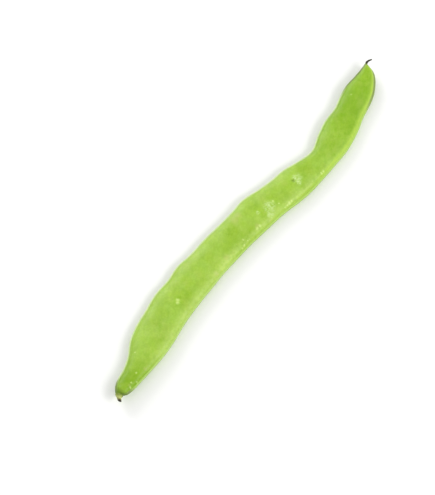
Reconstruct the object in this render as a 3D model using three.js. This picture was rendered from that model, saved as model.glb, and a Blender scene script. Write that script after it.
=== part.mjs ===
// A flat green bean, lying on its broad side.
// Millimetres. +X runs from the stem end to the beak, +Y is towards the back seam, +Z is up.
// The origin is under the middle of the bean, on the surface that it rests on.
import * as THREE from "three";

// Ribs across the pod, from the stem end to the beak. Each one holds the plan position of its end on the
// back seam (x, y) and on the belly seam (x, y).
const POD_RIBS = [
  [-111.7, 4.1, -110.6, 0.3],
  [-110.3, 5.4, -109.4, -1.2],
  [-108.2, 6.7, -107.6, -1.9],
  [-104.5, 7.8, -104.2, -2.6],
  [-98.7, 8.5, -98.2, -3.2],
  [-91.5, 10.6, -90.2, -4.0],
  [-83.7, 14.5, -80.8, -4.7],
  [-75.2, 16.6, -71.7, -4.5],
  [-65.7, 17.4, -62.7, -3.6],
  [-55.7, 18.3, -53.7, -3.3],
  [-45.7, 17.4, -43.7, -3.5],
  [-36.7, 17.7, -34.7, -4.0],
  [-27.7, 15.9, -26.7, -4.3],
  [-16.2, 14.6, -16.7, -5.4],
  [-5.7, 12.8, -7.7, -6.5],
  [3.3, 11.5, 0.8, -7.9],
  [12.3, 10.6, 9.3, -9.5],
  [20.8, 7.4, 17.3, -11.0],
  [29.3, 4.6, 25.8, -13.5],
  [37.3, 2.7, 34.3, -15.6],
  [45.8, -0.9, 44.3, -16.8],
  [54.3, -3.4, 54.3, -17.7],
  [63.3, -1.3, 65.3, -18.3],
  [71.8, 0.1, 76.3, -17.0],
  [80.3, -0.1, 84.3, -15.1],
  [87.3, 1.2, 92.3, -13.9],
  [93.8, 1.9, 98.3, -12.6],
  [99.8, 1.2, 103.1, -10.4],
  [104.3, 0.8, 106.3, -8.2],
  [107.3, 0.7, 108.5, -5.8],
  [109.2, 0.7, 109.7, -2.9],
  [110.3, 0.7, 110.4, -0.2],
];

// Ribs across the stem stub, from its scar to the neck of the pod.
const STUB_RIBS = [
  [-114.0, 1.0, -113.5, -0.6],
  [-113.6, 2.0, -112.95, -0.3],
  [-113.1, 2.9, -112.35, -0.05],
  [-112.4, 3.6, -111.55, 0.2],
  [-111.82, 4.07, -110.72, 0.27],
];

// Ribs across the dried style, a thin hook that starts at the beak.
const STYLE_RIBS = [
  [110.4, 0.7, 110.5, -0.2],
  [111.5, 0.72, 111.45, -0.16],
  [112.65, 0.39, 112.35, -0.35],
  [113.62, -0.37, 113.17, -0.82],
  [114.05, -0.75, 113.75, -1.1],
];
const STATIONS_PER_RIB = 4;

// The faces of the pod. It is as thick as it is wide at its narrow ends, and flat where it is wide.
const HALF_THICKNESS = 3.8;
const THICKENING_WIDTH = 3.2;
const FACE_FLATNESS = 2.6;
const SHOULDER_ROUNDNESS = 1.9;
const FACE_POINTS = 13;

// The seeds, by their places along X. Each one is a soft bulge on both faces.
const SEEDS = [-76, -57, -35.5, -13.5, 9, 33, 67, 91];
const SEED_RISE = 0.55;
const SEED_LENGTH = 6.5;
const SEED_WIDTH = 0.5;

// The two lips and the groove that run along each seam, at their full size where the pod is wide.
const LIP_HEIGHT = 0.42;
const NOTCH_HEIGHT = 0.6;
const NOTCH_INSET = 0.95;
const GROOVE_DEPTH = 0.3;
const FULL_LIP_WIDTH = 5;

// How the bean lies. It rests on small flats under its seeds, and its ends rise and twist a little.
const MIDDLE_HEIGHT = 3.85;
const END_RISE = 2;
const RISE_POWER = 6;
const TWIST = 0.1;
const HALF_LENGTH = 114;

// The round sections of the two end pieces.
const STUB_SIDES = 20;
const STUB_ROUNDNESS = 0.92;
const STYLE_SIDES = 12;
const STYLE_ROUNDNESS = 1;

// The height of the bean's middle plane above the surface, at a place along X.
function middleHeight(x) {
  return MIDDLE_HEIGHT + END_RISE * (x / HALF_LENGTH) ** RISE_POWER;
}

// The bulge of the seeds, at a place along X and a part of the half width, from -1 to 1.
function seedBulge(x, across) {
  let rise = 0;
  for (const seed of SEEDS) {
    rise += SEED_RISE * Math.exp(-(((x - seed) / SEED_LENGTH) ** 2) - (across / SEED_WIDTH) ** 2);
  }
  return rise;
}

// Half of the pod's section, from the back seam to the belly seam: parts of the half width, and heights.
function podHalfSection(x, halfWidth) {
  const lip = Math.min(1, halfWidth / FULL_LIP_WIDTH);
  const thickness = HALF_THICKNESS * (1 - Math.exp(-halfWidth / THICKENING_WIDTH));
  const notch = Math.min(NOTCH_HEIGHT * lip, thickness / 2);
  const faceWidth = 1 - (NOTCH_INSET * lip) / halfWidth;
  const points = [[1, LIP_HEIGHT * lip]];
  for (let i = 0; i < FACE_POINTS; i += 1) {
    const across = Math.cos((Math.PI * i) / (FACE_POINTS - 1));
    const fullness = Math.max(0, 1 - Math.abs(across) ** FACE_FLATNESS) ** (1 / SHOULDER_ROUNDNESS);
    const height = notch + (thickness - notch) * fullness + seedBulge(x, across) * fullness * lip;
    points.push([across * faceWidth, height]);
  }
  points.push([-1, LIP_HEIGHT * lip]);
  return points;
}

// The pod's whole section: the back groove, the top, the belly groove and the underside.
function podSection(x, halfWidth) {
  const groove = 1 - (GROOVE_DEPTH * Math.min(1, halfWidth / FULL_LIP_WIDTH)) / halfWidth;
  const top = podHalfSection(x, halfWidth);
  const underside = top.map(([across, height]) => [across, -height]).reverse();
  return [[groove, 0], ...top, [-groove, 0], ...underside];
}

function roundSection(halfWidth, sides, roundness) {
  const points = [];
  for (let side = 0; side < sides; side += 1) {
    const angle = (2 * Math.PI * side) / sides;
    points.push([Math.cos(angle), halfWidth * roundness * Math.sin(angle)]);
  }
  return points;
}

// Stands a section on the rib between two seam points, twisted with the bean and never below the surface.
function ringOnRib(back, belly, sectionAt) {
  const middle = back.clone().add(belly).multiplyScalar(0.5);
  const halfRib = back.clone().sub(belly).multiplyScalar(0.5);
  const halfWidth = halfRib.length();
  const slope = TWIST * (middle.x / HALF_LENGTH);
  return sectionAt(middle.x, halfWidth).map(([across, height]) => {
    const place = middle.clone().addScaledVector(halfRib, across);
    const z = middleHeight(middle.x) + slope * across * halfWidth + height;
    return new THREE.Vector3(place.x, place.y, Math.max(0, z));
  });
}

// The corners of the triangles that close one end of a body, round a point at its centre.
function capFaces(start, sides, centre, facesForward) {
  const faces = [];
  for (let side = 0; side < sides; side += 1) {
    const a = start + side;
    const b = start + ((side + 1) % sides);
    faces.push(centre, facesForward ? a : b, facesForward ? b : a);
  }
  return faces;
}

// A closed body through rings with equal numbers of points, with a flat face at each end.
function closedBody(rings) {
  const sides = rings[0].length;
  const points = rings.flat();
  const faces = [];
  for (let ring = 0; ring < rings.length - 1; ring += 1) {
    for (let side = 0; side < sides; side += 1) {
      const a = ring * sides + side;
      const b = ring * sides + ((side + 1) % sides);
      faces.push(a, b, b + sides, a, b + sides, a + sides);
    }
  }
  const lastStart = (rings.length - 1) * sides;
  faces.push(...capFaces(0, sides, points.length, false));
  faces.push(...capFaces(lastStart, sides, points.length + 1, true));
  for (const ring of [rings[0], rings[rings.length - 1]]) {
    const centre = new THREE.Vector3();
    ring.forEach((point) => centre.addScaledVector(point, 1 / sides));
    points.push(centre);
  }
  const geometry = new THREE.BufferGeometry().setFromPoints(points);
  geometry.setIndex(faces);
  geometry.computeVertexNormals();
  return geometry;
}

// A body along two seam curves through the ends of its ribs.
function bodyAlongRibs(ribs, sectionAt) {
  const back = new THREE.SplineCurve(ribs.map(([x, y]) => new THREE.Vector2(x, y)));
  const belly = new THREE.SplineCurve(ribs.map(([, , x, y]) => new THREE.Vector2(x, y)));
  const stations = (ribs.length - 1) * STATIONS_PER_RIB;
  const rings = [];
  for (let i = 0; i <= stations; i += 1) {
    rings.push(ringOnRib(back.getPoint(i / stations), belly.getPoint(i / stations), sectionAt));
  }
  return closedBody(rings);
}

function skin(colour, roughness) {
  return new THREE.MeshStandardMaterial({ color: colour, roughness, metalness: 0 });
}

function piece(name, geometry, material) {
  const mesh = new THREE.Mesh(geometry, material);
  mesh.name = name;
  return mesh;
}

function pod() {
  return piece("pod", bodyAlongRibs(POD_RIBS, podSection), skin(0xa2c94a, 0.45));
}

function stemStub() {
  const section = (x, halfWidth) => roundSection(halfWidth, STUB_SIDES, STUB_ROUNDNESS);
  return piece("stem_stub", bodyAlongRibs(STUB_RIBS, section), skin(0xb9bf6a, 0.7));
}

function driedStyle() {
  const section = (x, halfWidth) => roundSection(halfWidth, STYLE_SIDES, STYLE_ROUNDNESS);
  return piece("dried_style", bodyAlongRibs(STYLE_RIBS, section), skin(0x3a3a22, 0.8));
}

const bean = new THREE.Group();
bean.add(pod(), stemStub(), driedStyle());

export default bean;
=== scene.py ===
import math

import bpy
import numpy as np
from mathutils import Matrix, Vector, noise


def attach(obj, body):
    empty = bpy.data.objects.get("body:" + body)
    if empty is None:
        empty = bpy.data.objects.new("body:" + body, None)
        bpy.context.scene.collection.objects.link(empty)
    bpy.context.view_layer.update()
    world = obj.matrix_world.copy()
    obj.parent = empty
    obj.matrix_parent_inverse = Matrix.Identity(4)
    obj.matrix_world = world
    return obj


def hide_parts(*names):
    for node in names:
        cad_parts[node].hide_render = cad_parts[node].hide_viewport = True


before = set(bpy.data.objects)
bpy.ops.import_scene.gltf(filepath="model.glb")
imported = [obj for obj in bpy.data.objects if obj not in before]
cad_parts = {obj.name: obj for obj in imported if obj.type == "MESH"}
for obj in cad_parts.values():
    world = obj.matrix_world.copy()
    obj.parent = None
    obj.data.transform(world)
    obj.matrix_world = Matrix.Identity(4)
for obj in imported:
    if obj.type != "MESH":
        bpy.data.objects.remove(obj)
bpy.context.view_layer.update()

# A flat green bean on a white table, seen from above. The bean's own sizes are in millimetres, and MM makes
# them metres.
MM = 0.001

# Ribs across the pod, from the stem end to the beak, as in the solid: the plan position of each rib's end on
# the back seam (x, y) and on the belly seam (x, y).
POD_RIBS = (
    (-111.7, 4.1, -110.6, 0.3),
    (-110.3, 5.4, -109.4, -1.2),
    (-108.2, 6.7, -107.6, -1.9),
    (-104.5, 7.8, -104.2, -2.6),
    (-98.7, 8.5, -98.2, -3.2),
    (-91.5, 10.6, -90.2, -4.0),
    (-83.7, 14.5, -80.8, -4.7),
    (-75.2, 16.6, -71.7, -4.5),
    (-65.7, 17.4, -62.7, -3.6),
    (-55.7, 18.3, -53.7, -3.3),
    (-45.7, 17.4, -43.7, -3.5),
    (-36.7, 17.7, -34.7, -4.0),
    (-27.7, 15.9, -26.7, -4.3),
    (-16.2, 14.6, -16.7, -5.4),
    (-5.7, 12.8, -7.7, -6.5),
    (3.3, 11.5, 0.8, -7.9),
    (12.3, 10.6, 9.3, -9.5),
    (20.8, 7.4, 17.3, -11.0),
    (29.3, 4.6, 25.8, -13.5),
    (37.3, 2.7, 34.3, -15.6),
    (45.8, -0.9, 44.3, -16.8),
    (54.3, -3.4, 54.3, -17.7),
    (63.3, -1.3, 65.3, -18.3),
    (71.8, 0.1, 76.3, -17.0),
    (80.3, -0.1, 84.3, -15.1),
    (87.3, 1.2, 92.3, -13.9),
    (93.8, 1.9, 98.3, -12.6),
    (99.8, 1.2, 103.1, -10.4),
    (104.3, 0.8, 106.3, -8.2),
    (107.3, 0.7, 108.5, -5.8),
    (109.2, 0.7, 109.7, -2.9),
    (110.3, 0.7, 110.4, -0.2),
)

# Ribs across the stem stub, from its scar to the pod's neck. The scar reaches half a millimetre further than
# the solid's.
STUB_RIBS = (
    (-114.4, 0.7, -113.95, -1.0),
    (-113.75, 1.8, -113.15, -0.5),
    (-113.1, 2.9, -112.35, -0.05),
    (-112.4, 3.6, -111.55, 0.2),
    (-111.82, 4.07, -110.72, 0.27),
)

# Ribs across the dried style, from the pod's beak to the style's tip, as in the solid.
STYLE_RIBS = (
    (110.4, 0.7, 110.5, -0.2),
    (111.5, 0.72, 111.45, -0.16),
    (112.65, 0.39, 112.35, -0.35),
    (113.62, -0.37, 113.17, -0.82),
    (114.05, -0.75, 113.75, -1.1),
)

# The faces of the pod, its seeds and how it lies, as in the solid.
HALF_THICKNESS = 3.8
THICKENING_WIDTH = 3.2
FACE_FLATNESS = 2.6
SHOULDER_ROUNDNESS = 1.9
SEEDS = (-76, -57, -35.5, -13.5, 9, 33, 67, 91)
SEED_RISE = 0.55
SEED_LENGTH = 6.5
SEED_WIDTH = 0.5
MIDDLE_HEIGHT = 3.85
END_RISE = 2
RISE_POWER = 6
TWIST = 0.1
HALF_LENGTH = 114

# The seam's section: each point's distance in from the seam's edge and height above the middle plane.
SEAM_PROFILE = (
    (0.3, 0.0),
    (0.14, 0.12),
    (0.04, 0.28),
    (0.02, 0.44),
    (0.14, 0.58),
    (0.4, 0.66),
    (0.68, 0.64),
    (0.95, 0.6),
)
FULL_LIP_WIDTH = 5

# How finely the pieces are made.
PLACES_PER_RIB = 40
POD_STATIONS = 600
FACE_POINTS = 46
SMOOTHING_PASSES = 2
END_STATIONS = 48

# The free edge round each strip of the pod's texture map, as a share of the strip.
MAP_MARGIN = 0.02

# The skin's unevenness: each kind has a feature size and a height. The dents grow to their full height
# between two distances from the seam, and the wrinkles between two places along X.
SOFT_DENTS = (13, 0.12)
SMALL_DENTS = (3.2, 0.025)
DENT_REACH = (1.2, 4)
NECK_WRINKLES = (1.3, 0.1)
WRINKLE_REACH = (-97, -109)
SEAM_WAVES = (2.4, 0.06)

# The dimple in the upper face: x, y, radius and depth. Its rim's height is a share of that depth, and the
# widths of its rim and its hollow are shares of that radius.
DIMPLE = (-52.2, 5.4, 1.9, 0.22)
DIMPLE_RIM_HEIGHT = 0.6
DIMPLE_RIM_WIDTH = 0.3
DIMPLE_HOLLOW_WIDTH = 0.8

# The steps that close in an end: shares of the end ring's size, and distances outwards from it.
NECK_STEPS = ((0.97, 0.1), (0.86, 0.24), (0.6, 0.32))
SCAR_STEPS = ((0.94, 0.1), (0.8, 0.14), (0.62, 0.04), (0.35, -0.1), (0.12, -0.14))
TIP_STEPS = ((0.85, 0.1), (0.45, 0.18))

# Each end piece: the number of its sides and its roundness, its swells (a place along it from 0 to 1, a
# length and a height), how many ridges it has and their height, the size and height of its lumps, and the
# angle of its fibres from X, in degrees, and their size.
STUB_SECTION = (56, 0.92)
STUB_SWELLS = ((0.84, 0.12, 0.16), (0.5, 0.22, -0.14))
STUB_RIDGES = (7, 0.06)
STUB_LUMPS = (0.9, 0.1)
STUB_FIBRES = (40, 0.3)
STYLE_SECTION = (28, 1)
STYLE_SWELLS = ((0.2, 0.18, 0.2), (0.75, 0.2, 0.1))
STYLE_RIDGES = (3, 0.03)
STYLE_LUMPS = (0.6, 0.12)
STYLE_FIBRES = (-20, 0.2)
RIDGE_TWIST = 2

# The colours along each end piece, at places from 0 to 1.
# The stub's last greens, where it meets the pod, are partly painted shade of the crease there.
STUB_COLOURS_AND_NECK_SHADE = (
    (0, "#1C180E"),
    (0.16, "#2C2616"),
    (0.27, "#8E8C50"),
    (0.42, "#C2CC7C"),
    (0.66, "#B4C066"),
    (0.84, "#7F9632"),
    (1, "#5F7A1C"),
)
STYLE_COLOURS = ((0, "#4C5A1C"), (0.1, "#1C1A10"), (0.5, "#222018"), (0.8, "#36362A"), (1, "#4A4C40"))

# How far those colours stray from their places, and the colour, share and height of the fibres.
COLOUR_STRAYING = 0.12
FIBRE_TINT = ("#57502A", 0.35)
FIBRE_HEIGHT = 0.05
TISSUE_ROUGHNESS = 0.75

# The two greens under all the skin's tints.
DEEP_GREEN = "#84AB18"
LIGHT_GREEN = "#9AC230"

# The tints over them: a colour and its share. A third number is the share that a noise adds.
SEED_TINT = ("#A4CA48", 0.3)
# Painted rim light: the face paler along the back side.
BACK_RIM_LIGHT_TINT = ("#ACCF4A", 0.55)
BEAK_TINT = ("#80AF06", 0.75)
VEIN_TINT = ("#B7D468", 0.12)
BLOOM_TINT = ("#ABD068", 0.34)
PATCH_TINT = ("#76A010", 0.4)
MOTTLE_TINT = ("#B9D850", 0.2)
BLUSH_TINT = ("#BBC566", 0.22)
NECK_TINT = ("#77A100", 0.5, 0.38)
FRESH_TINT = ("#6E9E00", 0.35)
GRIT_TINT = ("#749C18", 0.18)
DOT_TINT = ("#C5DE84", 0.25)

# The tints along the belly side: tan flecks, a pale band that is partly the skin's own paleness and partly
# a painted highlight on the lit shoulder, and a strip of painted glints.
FLECK_TINT = ("#CDBE78", 0.35)
STEM_PALE_AND_HIGHLIGHT_TINT = ("#C4DC74", 0.26, 0.24)
BEAK_PALE_AND_HIGHLIGHT_TINT = ("#BEDC58", 0.45, 0.15)
MIDDLE_PALE_AND_HIGHLIGHT_TINT = ("#BBD85C", 0.1, 0.22)
GLINT_STRIP_TINT = ("#CBE07A", 0.18)

# The colours of the seams. Near the pod's ends the lips and the groove are olive, and the lips are wider. The
# lips have a share and what a noise adds to it.
TICK_TINT = ("#668C1C", 0.12)
# Back lips paler with a painted rim reflection; belly lips greener with painted shade of the belly wall.
BELLY_LIP_IN_PAINTED_SHADE = "#B2D268"
STEM_BELLY_LIP_IN_PAINTED_SHADE = "#B9D678"
BACK_LIP_AND_RIM_REFLECTION = "#D8E7B0"
OLIVE_LIP = "#84925A"
LIP_SHARES = (0.7, 0.2)
GROOVE = "#67862A"
OLIVE_GROOVE = "#5A6036"
GROOVE_SHARE = 0.8
# Darker at both tips of the pod; at the neck this is partly painted shade of the crease round the stub.
TIP_TINT_AND_NECK_SHADE = ("#5E7A0A", 0.75)
LIP_WIDENING = 0.5

# The tints of the marks on the upper face.
SCUFF_TINT = ("#D6ECA8", 0.66)
TAN_TINT = ("#C6BE7A", 0.24)
# Pale specks of the skin, and painted glints on the lit belly shoulder.
PALE_AND_GLINT_TINT = ("#DDF094", 0.5)
DARK_TINT = ("#5C7A0C", 0.65)

# Where tints lie along X. A zone starts to show, is full, starts to fade and is gone.
MIDDLE_ZONE = (-104, -84, 48, 78)
FRESH_ZONE = (68, 84, 90, 104)
SPECKLED_ZONE = (-36, -20, 40, 54)
STEM_BAND_ZONE = (-98, -76, -30, -4)

# What goes on to an end of the pod starts to show at the first place along X, and is full at the second.
BEAK_START = (30, 72)
BEAK_BAND_START = (36, 56)
NECK_START = (-86, -102)
STEM_LIP_START = (-12, -32)
OLIVE_BEAK_START = (84, 98)
OLIVE_NECK_START = (-103, -108)
WIDE_LIP_START = (99, 105)
BEAK_TIP_START = (108.8, 110.4)
NECK_TIP_SHADE_START = (-108.2, -110.8)

# How far tints reach from a seam: they start to show at the first distance and are full at the second. The
# strip of painted glints is a zone of distances from the belly seam.
BACK_REACH = (10, 3)
FLECK_REACH = (11, 7)
STEM_BAND_REACH = (8, 3)
BEAK_BAND_REACH = (4.8, 2.2)
MIDDLE_BAND_REACH = (5.5, 3)
GLINT_STRIP_ZONE = (2.2, 3.6, 5, 6.6)
TICK_REACH = (3.0, 1.4)
BACK_LIP_REACH = (1.6, 1.2)
LIP_REACH = (1.6, 0.9)
GROOVE_REACH = (0.5, 0.15)

# Marks on the upper face: x, y and radius. They fade in between two heights above the middle plane.
# Pale spots. Those from x -10.5 to 47.8, along the lit belly shoulder, are painted glints.
PALE_SPECKS_AND_GLINTS = (
    (-105.6, -0.8, 0.45),
    (-103.4, 0.2, 0.4),
    (-101.2, -1.7, 0.35),
    (-97.6, 1.2, 0.45),
    (-88.4, 8.0, 0.35),
    (-54.3, 5.3, 0.75),
    (-53.1, 6.0, 0.9),
    (-10.5, -4.8, 0.4),
    (-8.7, -4.7, 0.5),
    (-6.9, -2.6, 0.35),
    (-5.6, -4.7, 0.35),
    (2.4, -4.9, 0.6),
    (4.5, -5.2, 0.6),
    (19.1, -3.4, 0.5),
    (19.9, -6.5, 0.4),
    (20.3, -10.2, 0.5),
    (21.9, -10.5, 0.55),
    (23.4, -10.7, 0.7),
    (25.0, -10.9, 0.5),
    (46.3, -14.9, 0.5),
    (47.8, -15.1, 0.45),
    (90.6, -3.6, 0.3),
)
SCUFFS = (
    (9.4, -0.6, 0.8),
    (15.6, -3.5, 2.6),
    (12.5, -6.2, 1.4),
    (36.4, -6.5, 2.2),
    (35.0, -8.3, 1.3),
)
TAN_PATCHES = (
    (-105.1, 0.3, 0.6),
    (-93.0, -1.2, 0.8),
    (-29.8, -1.8, 1.2),
    (-19.6, -1.0, 1.3),
    (-0.5, 6.7, 1.8),
    (2.8, 7.1, 1.5),
    (3.7, -4.1, 1.1),
    (9.8, -8.6, 1.3),
)
DARK_SPOT = (34.1, -5.7, 0.75)
MARK_HEIGHTS = (1, 2)

# The skin's shine: its usual roughness, the least, and what its grain and a scuff add.
SKIN_ROUGHNESS = 0.4
LEAST_ROUGHNESS = 0.36
GRAIN_ROUGHNESS = 0.12
SCUFF_ROUGHNESS = 0.25
SKIN_SPECULAR = 0.27

# The heights of its grain and its streaks, and the angle of the streaks from X, in degrees.
GRAIN_HEIGHT = 0.02
STREAK_HEIGHT = 0.02
STREAK_TURN = 24

# How much light goes into the skin, and how far it goes in red, green and blue.
SUBSURFACE_SHARE = 0.15
SUBSURFACE_REACH = (0.8, 1.2, 0.3)

# Most values of the noise texture lie in this range, which is spread from 0 to 1.
NOISE_RANGE = (0.3, 0.7)

# The photograph's height in pixels and a pixel's size on the bean, and the camera that looks at it as there.
PHOTO_HEIGHT = 495
PIXEL = 0.5045
CAMERA_AIM = (-16.7, 6.4, 4.4)
CAMERA_TURN = -56.2
CAMERA_ELEVATION = 66
LENS = 500
SENSOR = 36
CAMERA_RANGE = 20

# The studio, in metres and watts. Each light has a name, a place, a size and a power.
TABLE_HALF = 3
TABLE_COLOUR = "#F6F6F5"
TABLE_ROUGHNESS = 0.9
SKY_STRENGTH = 0.75
LIGHTS = (
    ("key", (0.1, -0.9, 0.8), 0.6, 6.5),
    ("rim", (0.3, 0.9, 0.5), 0.6, 5),
)


def curve_through(points, places):
    """Points on the smooth curve through a list of points, at places from 0 to 1 along it."""
    points = np.array(points, float)
    last = len(points) - 1
    spot = np.clip(places, 0, 1) * last
    index = np.minimum(spot.astype(int), last - 1)
    share = (spot - index)[:, None]
    start, end = points[index], points[index + 1]
    leaving = (end - points[np.maximum(index - 1, 0)]) / 2
    arriving = (points[np.minimum(index + 2, last)] - start) / 2
    cubic = 2 * start - 2 * end + leaving + arriving
    square = 3 * end - 3 * start - 2 * leaving - arriving
    return cubic * share**3 + square * share**2 + leaving * share + start


def even_places(ribs, count):
    """Places along the ribs that are about the same distance apart on the surface."""
    fine = np.linspace(0, 1, PLACES_PER_RIB * len(ribs))
    steps = np.diff(curve_through(ribs, fine), axis=0)
    lengths = np.hypot(steps[:, 0], steps[:, 1]) + np.hypot(steps[:, 2], steps[:, 3])
    travelled = np.concatenate([[0], np.cumsum(lengths)])
    return np.interp(np.linspace(0, travelled[-1], count), travelled, fine)


def middle_height(x):
    """The height of the bean's middle plane above the table."""
    return MIDDLE_HEIGHT + END_RISE * (x / HALF_LENGTH) ** RISE_POWER


def seed_bulge(x, across):
    """The bulge of the seeds, at places along X and parts of the half width."""
    rise = np.zeros(np.broadcast(x, across).shape)
    for seed in SEEDS:
        rise += SEED_RISE * np.exp(-(((x - seed) / SEED_LENGTH) ** 2) - (across / SEED_WIDTH) ** 2)
    return rise


def pod_half_section(x, half_width):
    """The upper half of the section at each station: parts of the half width, and heights."""
    lip = np.minimum(1, half_width / FULL_LIP_WIDTH)
    thickness = HALF_THICKNESS * (1 - np.exp(-half_width / THICKENING_WIDTH))
    inset, lip_height = np.array(SEAM_PROFILE).T
    lip_scale = np.minimum(lip, thickness / (2 * lip_height[-1]))
    back = 1 - inset * lip / half_width
    turn = np.linspace(0, math.pi, FACE_POINTS)[1:-1]
    across = np.cos(turn) * np.ones_like(half_width)
    fullness = (1 - np.abs(across) ** FACE_FLATNESS) ** (1 / SHOULDER_ROUNDNESS)
    notch = lip_height[-1] * lip_scale
    face = notch + (thickness - notch) * fullness + seed_bulge(x, across) * fullness * lip
    lips = lip_height * lip_scale
    places = np.hstack([back, across * back[:, -1:], -back[:, ::-1]])
    heights = np.hstack([lips, face, lips[:, ::-1]])
    return places, heights


def pod_section(x, half_width):
    """The whole section at each station, from the back groove over the top and back along the underside."""
    places, heights = pod_half_section(x, half_width)
    under = slice(-2, 0, -1)
    return np.hstack([places, places[:, under]]), np.hstack([heights, -heights[:, under]])


def round_section(sides, roundness):
    """The section of an end piece, as a function of its place."""
    turn = np.arange(sides) * 2 * math.pi / sides

    def section(x, half_width):
        across = np.cos(turn) * np.ones_like(half_width)
        return across, np.sin(turn) * half_width * roundness

    return section


def rings_along(ribs, count, section):
    """Rings of points in millimetres, shaped (stations, points, 3)."""
    stations = curve_through(ribs, even_places(ribs, count))
    back, belly = stations[:, :2], stations[:, 2:]
    middle, half_rib = (back + belly) / 2, (back - belly) / 2
    half_width = np.linalg.norm(half_rib, axis=1)[:, None]
    x = middle[:, :1]
    across, height = section(x, half_width)
    plan = middle[:, None, :] + half_rib[:, None, :] * across[:, :, None]
    z = middle_height(x) + TWIST * (x / HALF_LENGTH) * across * half_width + height
    return np.dstack([plan, z])


def eased(rings, passes):
    """Rings with their sharp creases eased round each ring."""
    for _ in range(passes):
        rings = (np.roll(rings, 1, 1) + 2 * rings + np.roll(rings, -1, 1)) / 4
    return rings


def outward(rings):
    """The outward direction of the surface at each point of the rings."""
    along = np.gradient(rings, axis=0)
    around = np.roll(rings, -1, 1) - np.roll(rings, 1, 1)
    normal = np.cross(around, along)
    return normal / np.linalg.norm(normal, axis=2, keepdims=True)


def lumps(rings, size, height):
    """Smooth random heights, from about -height to height, with features of this size."""
    points = rings.reshape(-1, 3) / size
    values = [noise.noise(Vector(point)) for point in points]
    return height * np.array(values).reshape(rings.shape[:2])


def fade(value, start, end):
    """Goes smoothly from 0 at start to 1 at end."""
    share = np.clip((value - start) / (end - start), 0, 1)
    return share * share * (3 - 2 * share)


def seam_distances(rings):
    """The distance round the surface from each point to the back seam and to the belly seam."""
    steps = np.linalg.norm(np.roll(rings, -1, 1) - rings, axis=2)
    belly_index = rings.shape[1] // 2
    travelled = np.cumsum(steps, axis=1) - steps
    total = travelled[:, -1:] + steps[:, -1:]
    to_belly = travelled[:, belly_index : belly_index + 1]
    back = np.minimum(travelled, total - travelled)
    return back, np.abs(travelled - to_belly)


def dimple_height(rings):
    """The heights of the dimple and its raised rim, at each point of the rings."""
    centre_x, centre_y, radius, depth = DIMPLE
    away = np.hypot(rings[:, :, 0] - centre_x, rings[:, :, 1] - centre_y) / radius
    rim = DIMPLE_RIM_HEIGHT * np.exp(-(((away - 1) / DIMPLE_RIM_WIDTH) ** 2))
    hollow = np.exp(-((away / DIMPLE_HOLLOW_WIDTH) ** 2))
    upper = rings[:, :, 2] > MIDDLE_HEIGHT
    return depth * upper * (rim - hollow)


def uneven_skin(rings):
    """The pod's rings with the soft dents, fine wrinkles and wavy seams of a grown skin."""
    seam = np.minimum(*seam_distances(rings))
    on_face = fade(seam, *DENT_REACH)
    height = (lumps(rings, *SOFT_DENTS) + lumps(rings, *SMALL_DENTS)) * on_face
    height += lumps(rings, *NECK_WRINKLES) * fade(rings[:, :, 0], *WRINKLE_REACH)
    height += lumps(rings, *SEAM_WAVES) * (1 - on_face)
    height += dimple_height(rings)
    moved = rings + outward(rings) * height[:, :, None]
    moved[:, :, 2] = np.maximum(moved[:, :, 2], 0)
    return moved


def closed_in(rings, steps):
    """The rings and a few more beyond the last one, which close it in."""
    end = rings[-1]
    centre = end.mean(0)
    outwards = centre - rings[-2].mean(0)
    outwards /= np.linalg.norm(outwards)
    extra = [centre + share * (end - centre) + distance * outwards for share, distance in steps]
    return np.concatenate([rings, extra])


def grown(rings, swells, ridges, lumpiness):
    """The rings of an end piece with its swells, ridges and lumps."""
    along = np.linspace(0, 1, len(rings))[:, None]
    turn = np.linspace(0, 2 * math.pi, rings.shape[1], endpoint=False)
    count, ridge = ridges
    height = ridge * np.cos(count * turn + RIDGE_TWIST * along) + lumps(rings, *lumpiness)
    for place, length, swell in swells:
        height += swell * np.exp(-(((along - place) / length) ** 2))
    return rings + outward(rings) * height[:, :, None]


def new_object(name, data):
    thing = bpy.data.objects.new(name, data)
    bpy.context.scene.collection.objects.link(thing)
    return thing


def mesh_from_rings(name, rings, material):
    """A closed smooth object through the rings, with a flat cap at each end."""
    stations, sides, _ = rings.shape
    points = np.vstack([rings.reshape(-1, 3), rings[0].mean(0), rings[-1].mean(0)]) * MM
    faces = []
    for ring in range(stations - 1):
        for side in range(sides):
            a = ring * sides + side
            b = ring * sides + (side + 1) % sides
            faces.append((a, b, b + sides, a + sides))
    first, last = len(points) - 2, len(points) - 1
    start = (stations - 1) * sides
    for side in range(sides):
        following = (side + 1) % sides
        faces.append((first, following, side))
        faces.append((last, start + side, start + following))
    mesh = bpy.data.meshes.new(name)
    mesh.from_pydata(points.tolist(), [], faces)
    mesh.polygons.foreach_set("use_smooth", [True] * len(mesh.polygons))
    mesh.materials.append(material)
    return new_object(name, mesh)


def distance_shares(points):
    """How far along a line of points each one is, from 0 to 1."""
    steps = np.linalg.norm(np.diff(points, axis=0), axis=1)
    return np.concatenate([[0], np.cumsum(steps)]) / steps.sum()


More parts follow.
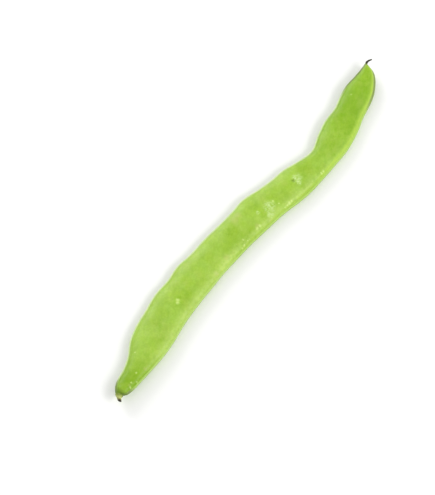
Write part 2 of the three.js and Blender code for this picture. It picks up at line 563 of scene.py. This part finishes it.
def unroll(piece, rings):
    """Gives the piece a texture map: its skin unrolled into two strips, one for each half of its length."""
    stations, sides, _ = rings.shape
    along = distance_shares(rings.mean(1))
    widest = rings[np.ptp(rings[:, :, 1], axis=1).argmax()]
    around = distance_shares(np.vstack([widest, widest[:1]]))
    half = np.searchsorted(along, 0.5)
    station, side = [grid.ravel() for grid in np.mgrid[: stations - 1, :sides]]
    strip = (station >= half).astype(float)
    start, end = along[half] * strip, along[half] + (1 - along[half]) * strip
    corners = []
    for ahead, across in ((0, 0), (0, 1), (1, 1), (1, 0)):
        u = (along[station + ahead] - start) / (end - start)
        corners.append(np.stack([u, around[side + across], strip], axis=1))
    quads = np.stack(corners, axis=1).reshape(-1, 3)
    caps = []
    for near, far in zip(around[:-1], around[1:]):
        middle = (near + far) / 2
        caps += [(-MAP_MARGIN / 2, middle, 0), (0, far, 0), (0, near, 0)]
        caps += [(1 + MAP_MARGIN / 2, middle, 1), (1, near, 1), (1, far, 1)]
    u, v, strip = np.vstack([quads, caps]).T
    inner = 1 - 2 * MAP_MARGIN
    places = np.stack([MAP_MARGIN + inner * u, (strip + MAP_MARGIN + inner * (1 - v)) / 2], axis=1)
    piece.data.uv_layers.new(name="OFBake").uv.foreach_set("vector", places.ravel())


def keep_values(piece, name, values):
    """Keeps a number for each point of the piece's rings, for its material to read."""
    at_caps = [values[0].mean(), values[-1].mean()]
    attribute = piece.data.attributes.new(name, "FLOAT", "POINT")
    attribute.data.foreach_set("value", np.concatenate([values.ravel(), at_caps]))


def linear(colour):
    """A web colour as linear red, green, blue and alpha."""
    channels = [int(colour[i : i + 2], 16) / 255 for i in (1, 3, 5)]
    return tuple(c / 12.92 if c <= 0.04045 else ((c + 0.055) / 1.055) ** 2.4 for c in channels) + (1,)


def new_material(name, roughness):
    material = bpy.data.materials.new(name)
    material.use_nodes = True
    shader = material.node_tree.nodes["Principled BSDF"]
    shader.inputs["Roughness"].default_value = roughness
    return material, material.node_tree, shader


def fill_socket(tree, socket, value):
    """Gives an input socket a value or a web colour, or links it to another node's output."""
    if isinstance(value, bpy.types.NodeSocket):
        tree.links.new(value, socket)
    else:
        socket.default_value = linear(value) if isinstance(value, str) else value


def add_node(tree, kind, inputs, output=0, **settings):
    """Adds a node, fills its inputs by name or number, and gives one of its outputs."""
    node = tree.nodes.new(kind)
    for setting, value in settings.items():
        setattr(node, setting, value)
    for key, value in inputs.items():
        fill_socket(tree, node.inputs[key], value)
    return node.outputs[output]


def part_of(tree, vector, axis):
    return add_node(tree, "ShaderNodeSeparateXYZ", {0: vector}, axis)


def kept_value(tree, name):
    return add_node(tree, "ShaderNodeAttribute", {}, "Fac", attribute_name=name)


def combined(tree, operation, values):
    """Values taken together by a sum, a product, or the like, from the first to the last."""
    total = values[0]
    for value in values[1:]:
        total = add_node(tree, "ShaderNodeMath", {0: total, 1: value}, operation=operation)
    return total


def sum_of(tree, *values):
    return combined(tree, "ADD", values)


def product(tree, *values):
    return combined(tree, "MULTIPLY", values)


def smaller(tree, first, second):
    return combined(tree, "MINIMUM", (first, second))


def larger(tree, first, second):
    return combined(tree, "MAXIMUM", (first, second))


def scaled(tree, vector, factor):
    return add_node(tree, "ShaderNodeVectorMath", {0: vector, "Scale": factor}, operation="SCALE")


def vector_math(tree, operation, first, second, output="Vector"):
    return add_node(tree, "ShaderNodeVectorMath", {0: first, 1: second}, output, operation=operation)


def place_in_mm(tree):
    return scaled(tree, add_node(tree, "ShaderNodeTexCoord", {}, "Object"), 1 / MM)


def rise(tree, value, start, end):
    """Goes smoothly from 0 where the value is start to 1 where it is end."""
    inputs = {"Value": value, "From Min": start, "From Max": end}
    return add_node(tree, "ShaderNodeMapRange", inputs, interpolation_type="SMOOTHSTEP")


def within(tree, value, zone):
    """1 within a zone and 0 outside it, with soft ends."""
    start, full, fading, end = zone
    return product(tree, rise(tree, value, start, full), rise(tree, value, end, fading))


def cloud(tree, place, size, detail=2.0):
    """Soft noise from 0 to 1 whose features have this size."""
    inputs = {"Vector": place, "Scale": 1 / size, "Detail": detail}
    return rise(tree, add_node(tree, "ShaderNodeTexNoise", inputs, 0), *NOISE_RANGE)


def blend_colours(tree, share, first, second):
    inputs = {0: share, 6: first, 7: second}
    return add_node(tree, "ShaderNodeMix", inputs, 2, data_type="RGBA")


def tinted(tree, colour, where, tint):
    """The colour with a tint over it, as far as a value from 0 to 1 says."""
    tint_colour, share = tint
    return blend_colours(tree, product(tree, where, share), colour, tint_colour)


def unevenly_tinted(tree, colour, where, uneven, tint):
    """The same for a tint whose share grows with a noise from 0 to 1."""
    tint_colour, least, extra = tint
    share = sum_of(tree, least, product(tree, uneven, extra))
    return blend_colours(tree, product(tree, where, share), colour, tint_colour)


def stretched(tree, place, turn, stretch):
    """Places for noise whose features are streaks, turned from X by this many degrees."""
    inputs = {"Vector": place, "Rotation": (0, 0, math.radians(turn)), "Scale": (stretch, 1, 1)}
    return add_node(tree, "ShaderNodeMapping", inputs, vector_type="TEXTURE")


def wobbly(tree, place, size, amount):
    """Places moved a little at random, so that a shape drawn with them has an uneven edge."""
    inputs = {"Vector": place, "Scale": 1 / size, "Detail": 1.0}
    moves = add_node(tree, "ShaderNodeTexNoise", inputs, "Color")
    moves = vector_math(tree, "SUBTRACT", moves, (0.5, 0.5, 0.5))
    return vector_math(tree, "ADD", place, scaled(tree, moves, amount))


def spot(tree, place, mark, softness):
    """1 inside a round spot of the plan, given by its x, y and radius, and 0 outside it."""
    x, y, radius = mark
    flat = vector_math(tree, "MULTIPLY", place, (1, 1, 0))
    distance = vector_math(tree, "DISTANCE", flat, (x, y, 0), "Value")
    return rise(tree, distance, radius * (1 + softness), radius * (1 - softness))


def any_spot(tree, place, marks, softness):
    """1 inside any of the round spots, and 0 outside them all."""
    inside = 0.0
    for mark in marks:
        inside = larger(tree, inside, spot(tree, place, mark, softness))
    return inside


def freckles(tree, place, spacing, radius):
    """Small round dots, one in each cell of a random pattern, which fade out from half their radius."""
    inputs = {"Vector": place, "Scale": 1 / spacing}
    distance = add_node(tree, "ShaderNodeTexVoronoi", inputs, "Distance")
    return rise(tree, distance, radius / spacing, 0.5 * radius / spacing)


def colours_along(tree, value, stops):
    """Colours that change with a value from 0 to 1. The first stop is at 0 and the last at 1."""
    node = tree.nodes.new("ShaderNodeValToRGB")
    elements = node.color_ramp.elements
    for position, _ in stops[1:-1]:
        elements.new(position)
    for element, (_, colour) in zip(elements, stops):
        element.color = linear(colour)
    fill_socket(tree, node.inputs[0], value)
    return node.outputs[0]


def add_bumps(tree, shader, height):
    """Gives a material fine bumps of this height in millimetres."""
    bump = add_node(tree, "ShaderNodeBump", {"Height": height, "Distance": MM})
    fill_socket(tree, shader.inputs["Normal"], bump)


def skin_colour(tree, place, back, swell):
    """The pod's greens: cloudy, finely streaked, paler over the seeds, fresher at the beak, and with painted
    rim light along the back.
    """
    x = part_of(tree, place, "X")
    middle = within(tree, x, MIDDLE_ZONE)
    colour = blend_colours(tree, cloud(tree, place, size=11), DEEP_GREEN, LIGHT_GREEN)
    colour = tinted(tree, colour, swell, SEED_TINT)
    # Painted rim light along the back side of the face.
    colour = tinted(tree, colour, product(tree, rise(tree, back, *BACK_REACH), middle), BACK_RIM_LIGHT_TINT)
    colour = tinted(tree, colour, rise(tree, x, *BEAK_START), BEAK_TINT)
    veins = cloud(tree, stretched(tree, place, STREAK_TURN, stretch=3), size=1.0)
    colour = tinted(tree, colour, veins, VEIN_TINT)
    bloom = cloud(tree, place, size=8, detail=1.0)
    colour = tinted(tree, colour, product(tree, bloom, middle), BLOOM_TINT)
    colour = tinted(tree, colour, cloud(tree, place, size=5.5, detail=3.0), PATCH_TINT)
    colour = tinted(tree, colour, cloud(tree, place, size=2.2), MOTTLE_TINT)
    blush = product(tree, cloud(tree, place, size=9.5, detail=1.0), cloud(tree, place, size=3.7))
    colour = tinted(tree, colour, blush, BLUSH_TINT)
    uneven = cloud(tree, place, size=3.1, detail=3.0)
    colour = unevenly_tinted(tree, colour, rise(tree, x, *NECK_START), uneven, NECK_TINT)
    colour = tinted(tree, colour, within(tree, x, FRESH_ZONE), FRESH_TINT)
    colour = tinted(tree, colour, cloud(tree, place, size=0.9, detail=1.0), GRIT_TINT)
    dots = product(tree, freckles(tree, place, spacing=1.3, radius=0.24), cloud(tree, place, size=6))
    return tinted(tree, colour, dots, DOT_TINT)


def belly_colour_and_highlight(tree, place, colour, belly):
    """A pale band along the belly side, partly the skin's own paleness and partly a painted highlight on the
    shoulder: broad and soft towards both ends, and broken into painted glints between.
    """
    x = part_of(tree, place, "X")
    # Noise that breaks the pale bands and the painted glints into specks.
    glint_noise = cloud(tree, place, size=1.7)
    between = within(tree, x, SPECKLED_ZONE)
    flecks = freckles(tree, wobbly(tree, place, size=0.4, amount=0.6), spacing=2.1, radius=0.3)
    flecks = product(tree, flecks, rise(tree, belly, *FLECK_REACH), between)
    colour = tinted(tree, colour, flecks, FLECK_TINT)
    # Pale bands: partly the skin's paleness, partly a painted highlight on the lit shoulder.
    stem_half = product(tree, within(tree, x, STEM_BAND_ZONE), rise(tree, belly, *STEM_BAND_REACH))
    colour = unevenly_tinted(tree, colour, stem_half, glint_noise, STEM_PALE_AND_HIGHLIGHT_TINT)
    beak_half = product(tree, rise(tree, x, *BEAK_BAND_START), rise(tree, belly, *BEAK_BAND_REACH))
    colour = unevenly_tinted(tree, colour, beak_half, glint_noise, BEAK_PALE_AND_HIGHLIGHT_TINT)
    middle = product(tree, between, rise(tree, belly, *MIDDLE_BAND_REACH))
    colour = unevenly_tinted(tree, colour, middle, glint_noise, MIDDLE_PALE_AND_HIGHLIGHT_TINT)
    # A strip of painted glints along the lit shoulder.
    strip = product(tree, between, within(tree, belly, GLINT_STRIP_ZONE), glint_noise)
    return tinted(tree, colour, strip, GLINT_STRIP_TINT)


def seam_colour(tree, place, colour, back, belly):
    """The seams over the skin's colour: two pale lips with a darker groove, olive at the pod's ends. The back
    lips carry a painted rim reflection, the belly lips painted shade, and the neck's tip painted shade.
    """
    x = part_of(tree, place, "X")
    edge = smaller(tree, back, belly)
    near_end = larger(tree, rise(tree, x, *OLIVE_BEAK_START), rise(tree, x, *OLIVE_NECK_START))
    fibres = cloud(tree, stretched(tree, place, turn=90, stretch=3), size=0.5)
    ticks = product(tree, fibres, rise(tree, edge, *TICK_REACH))
    colour = tinted(tree, colour, ticks, TICK_TINT)
    # Belly lips, greener with painted shade.
    lips = blend_colours(tree, rise(tree, x, *STEM_LIP_START), BELLY_LIP_IN_PAINTED_SHADE, STEM_BELLY_LIP_IN_PAINTED_SHADE)
    # Back lips, paler with a painted rim reflection.
    lips = blend_colours(tree, rise(tree, back, *BACK_LIP_REACH), lips, BACK_LIP_AND_RIM_REFLECTION)
    lips = blend_colours(tree, near_end, lips, OLIVE_LIP)
    wide_end = product(tree, near_end, -LIP_WIDENING)
    wide_beak = product(tree, rise(tree, x, *WIDE_LIP_START), -LIP_WIDENING)
    on_lips = rise(tree, sum_of(tree, edge, wide_end, wide_beak), *LIP_REACH)
    colour = unevenly_tinted(tree, colour, on_lips, fibres, (lips, *LIP_SHARES))
    groove = blend_colours(tree, near_end, GROOVE, OLIVE_GROOVE)
    colour = tinted(tree, colour, rise(tree, edge, *GROOVE_REACH), (groove, GROOVE_SHARE))
    # Darker tips; at the neck partly painted shade of the crease round the stub.
    tip = larger(tree, rise(tree, x, *BEAK_TIP_START), rise(tree, x, *NECK_TIP_SHADE_START))
    return tinted(tree, colour, tip, TIP_TINT_AND_NECK_SHADE)


def marked_colour(tree, place, colour):
    """The upper face's marks over the skin's colour, painted glints among them, and how scuffed each place
    is.
    """
    lowest, full = MARK_HEIGHTS
    upper = rise(tree, part_of(tree, place, "Z"), MIDDLE_HEIGHT + lowest, MIDDLE_HEIGHT + full)
    uneven = wobbly(tree, place, size=0.7, amount=1.1)
    scratches = cloud(tree, stretched(tree, uneven, turn=-35, stretch=2.5), size=0.6)
    scuffed = product(tree, any_spot(tree, uneven, SCUFFS, softness=0.7), scratches, upper)
    colour = tinted(tree, colour, scuffed, SCUFF_TINT)
    tan = product(tree, any_spot(tree, uneven, TAN_PATCHES, softness=0.9), upper)
    colour = tinted(tree, colour, tan, TAN_TINT)
    # Pale spots, some of them painted glints along the lit belly shoulder.
    pale = product(tree, any_spot(tree, uneven, PALE_SPECKS_AND_GLINTS, softness=0.8), upper)
    colour = tinted(tree, colour, pale, PALE_AND_GLINT_TINT)
    dark = product(tree, spot(tree, uneven, DARK_SPOT, softness=0.7), upper)
    return tinted(tree, colour, dark, DARK_TINT), scuffed


def skin_material():
    """Satin green skin with a fine grain."""
    material, tree, shader = new_material("bean_skin", SKIN_ROUGHNESS)
    place = place_in_mm(tree)
    back, belly, swell = [kept_value(tree, name) for name in ("back_seam", "belly_seam", "seed_swell")]
    colour = skin_colour(tree, place, back, swell)
    colour = belly_colour_and_highlight(tree, place, colour, belly)
    colour = seam_colour(tree, place, colour, back, belly)
    colour, scuffed = marked_colour(tree, place, colour)
    fill_socket(tree, shader.inputs["Base Color"], colour)
    grain = cloud(tree, place, size=0.5, detail=1.0)
    grainy, dull = product(tree, grain, GRAIN_ROUGHNESS), product(tree, scuffed, SCUFF_ROUGHNESS)
    fill_socket(tree, shader.inputs["Roughness"], sum_of(tree, LEAST_ROUGHNESS, grainy, dull))
    streaks = cloud(tree, stretched(tree, place, STREAK_TURN, stretch=4), size=0.8, detail=1.0)
    height = sum_of(tree, product(tree, grain, GRAIN_HEIGHT), product(tree, streaks, STREAK_HEIGHT))
    add_bumps(tree, shader, height)
    shader.inputs["Specular IOR Level"].default_value = SKIN_SPECULAR
    shader.inputs["Subsurface Weight"].default_value = SUBSURFACE_SHARE
    shader.inputs["Subsurface Radius"].default_value = SUBSURFACE_REACH
    shader.inputs["Subsurface Scale"].default_value = MM
    return material


def fibrous_material(name, fibre_shape, stops):
    """Dry plant tissue with fibres along it, whose colour changes from one end of the piece to the other."""
    turn, size = fibre_shape
    material, tree, shader = new_material(name, TISSUE_ROUGHNESS)
    place = place_in_mm(tree)
    fibres = cloud(tree, stretched(tree, place, turn, stretch=4), size)
    stray = product(tree, sum_of(tree, cloud(tree, place, 3 * size), -0.5), COLOUR_STRAYING)
    colour = colours_along(tree, sum_of(tree, kept_value(tree, "along"), stray), stops)
    fill_socket(tree, shader.inputs["Base Color"], tinted(tree, colour, fibres, FIBRE_TINT))
    add_bumps(tree, shader, product(tree, fibres, FIBRE_HEIGHT))
    return material


def dress(piece, node):
    """Lets the piece stand for a CAD node, whose part it hides, on the bean's one body."""
    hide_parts(node)
    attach(piece, "root")


def make_pod():
    rings = eased(rings_along(POD_RIBS, POD_STATIONS, pod_section), SMOOTHING_PASSES)
    rings = closed_in(rings[::-1], NECK_STEPS)[::-1]
    back, belly = seam_distances(rings)
    piece = mesh_from_rings("bean_pod", uneven_skin(rings), skin_material())
    unroll(piece, rings)
    keep_values(piece, "back_seam", back)
    keep_values(piece, "belly_seam", belly)
    across = (belly - back) / (back + belly)
    keep_values(piece, "seed_swell", seed_bulge(rings[:, :, 0], across) / SEED_RISE)
    dress(piece, "pod")


def make_end_piece(name, rings, material):
    """A piece whose material reads how far along it each point is."""
    piece = mesh_from_rings(name, rings, material)
    along = np.linspace(0, 1, len(rings))[:, None] * np.ones(rings.shape[1])
    keep_values(piece, "along", along)
    return piece


def make_stem_stub():
    rings = rings_along(STUB_RIBS, END_STATIONS, round_section(*STUB_SECTION))
    rings = grown(rings, STUB_SWELLS, STUB_RIDGES, STUB_LUMPS)
    rings = closed_in(rings, NECK_STEPS)
    rings = closed_in(rings[::-1], SCAR_STEPS)[::-1]
    material = fibrous_material("stem_tissue", STUB_FIBRES, STUB_COLOURS_AND_NECK_SHADE)
    piece = make_end_piece("bean_stem_stub", rings, material)
    dress(piece, "stem_stub")


def make_dried_style():
    rings = rings_along(STYLE_RIBS, END_STATIONS, round_section(*STYLE_SECTION))
    rings = grown(rings, STYLE_SWELLS, STYLE_RIDGES, STYLE_LUMPS)
    rings = closed_in(rings, TIP_STEPS)
    material = fibrous_material("dried_tissue", STYLE_FIBRES, STYLE_COLOURS)
    piece = make_end_piece("bean_dried_style", rings, material)
    dress(piece, "dried_style")


def make_floor():
    material, _, shader = new_material("white_table", TABLE_ROUGHNESS)
    shader.inputs["Base Color"].default_value = linear(TABLE_COLOUR)
    corners = [(x * TABLE_HALF, y * TABLE_HALF, 0) for x, y in ((-1, -1), (1, -1), (1, 1), (-1, 1))]
    mesh = bpy.data.meshes.new("floor")
    mesh.from_pydata(corners, [], [(0, 1, 2, 3)])
    mesh.materials.append(material)
    new_object("floor", mesh)


def turn_back(thing, direction):
    """Turns a camera or a light so that its back is towards this direction."""
    thing.rotation_mode = "QUATERNION"
    thing.rotation_quaternion = direction.to_track_quat("Z", "Y")


def make_camera():
    turn, tilt = math.radians(CAMERA_TURN), math.radians(CAMERA_ELEVATION)
    back = Vector((math.sin(turn) * math.cos(tilt), -math.cos(turn) * math.cos(tilt), math.sin(tilt)))
    distance = LENS / SENSOR * PHOTO_HEIGHT * PIXEL * MM
    data = bpy.data.cameras.new("camera")
    data.lens = LENS
    data.sensor_width = SENSOR
    data.clip_end = CAMERA_RANGE
    camera = new_object("camera", data)
    camera.location = Vector(CAMERA_AIM) * MM + back * distance
    turn_back(camera, back)
    bpy.context.scene.camera = camera


def area_light(name, place, size, power):
    """A round soft light that faces the middle of the bean."""
    data = bpy.data.lights.new(name, "AREA")
    data.shape = "DISK"
    data.size = size
    data.energy = power
    light = new_object(name, data)
    light.location = place
    turn_back(light, Vector(place))


def make_lights():
    world = bpy.data.worlds.new("studio")
    world.use_nodes = True
    background = world.node_tree.nodes["Background"]
    background.inputs["Color"].default_value = (1, 1, 1, 1)
    background.inputs["Strength"].default_value = SKY_STRENGTH
    bpy.context.scene.world = world
    for light in LIGHTS:
        area_light(*light)
    bpy.context.scene.view_settings.view_transform = "Standard"


make_camera()
make_lights()
make_floor()
make_pod()
make_stem_stub()
make_dried_style()
